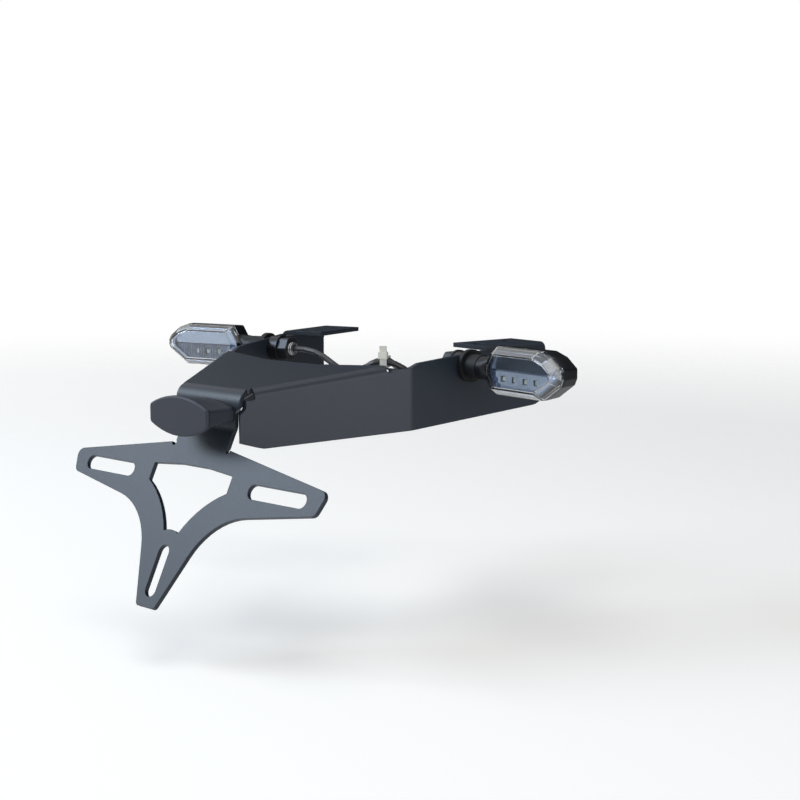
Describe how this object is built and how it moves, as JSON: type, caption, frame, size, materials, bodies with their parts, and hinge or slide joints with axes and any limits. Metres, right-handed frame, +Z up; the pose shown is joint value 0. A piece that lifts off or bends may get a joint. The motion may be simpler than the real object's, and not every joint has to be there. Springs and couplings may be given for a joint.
{
  "type": "motorcycle tail tidy",
  "caption": "Folded steel number-plate bracket that hangs under a motorcycle's tail, with a plate lamp on its rear flange and an indicator on each arm.",
  "frame": {"origin": "centre of the four bolt holes, on the upper face of the two mounting tabs", "axes": "+Z up through the tabs towards the machine's tail, +Y forward along the machine, +X to the rider's right"},
  "size_m": [0.3072, 0.2287, 0.1297],
  "materials": {
    "powder_coat": "satin black powder coat with a fine texture",
    "lamp_plastic": "satin moulded black plastic",
    "clear_lens": "clear polycarbonate",
    "circuit_board": "white solder resist",
    "black_rubber": "matt black rubber",
    "zinc_steel": "bright zinc plate",
    "black_steel": "black zinc plate",
    "indicator_plastic": "moulded black plastic",
    "indicator_cover": "clear polycarbonate cover",
    "pvc_sheath": "black PVC sheath",
    "plug_nylon": "black nylon plug housing",
    "natural_nylon": "natural white nylon",
    "reflector_chrome": "vacuum-metallised plastic"
  },
  "bodies": {
    "root": {"bracket": "powder_coat", "lamp_housing": "lamp_plastic", "lamp_lens": "clear_lens", "lamp_led_board": "circuit_board", "lamp_gasket": "black_rubber", "lamp_studs": "zinc_steel", "lamp_washers": "zinc_steel", "lamp_nuts": "zinc_steel", "lamp_grommet": "black_rubber", "right_indicator_housing": "indicator_plastic", "right_indicator_lens": "indicator_cover", "right_indicator_reflector": "reflector_chrome", "right_indicator_led_board": "circuit_board", "right_indicator_bush": "black_rubber", "right_indicator_stud": "zinc_steel", "right_indicator_spacer": "black_steel", "right_indicator_washer": "black_steel", "right_indicator_nut": "black_steel", "left_indicator_housing": "indicator_plastic", "left_indicator_lens": "indicator_cover", "left_indicator_reflector": "reflector_chrome", "left_indicator_led_board": "circuit_board", "left_indicator_bush": "black_rubber", "left_indicator_stud": "zinc_steel", "left_indicator_spacer": "black_steel", "left_indicator_washer": "black_steel", "left_indicator_nut": "black_steel", "lamp_lead": "pvc_sheath", "right_indicator_lead": "pvc_sheath", "left_indicator_lead": "pvc_sheath", "right_indicator_plug": "plug_nylon", "left_indicator_plug": "plug_nylon", "lamp_plug": "plug_nylon", "cable_tie": "natural_nylon"}
  },
  "joints": []
}
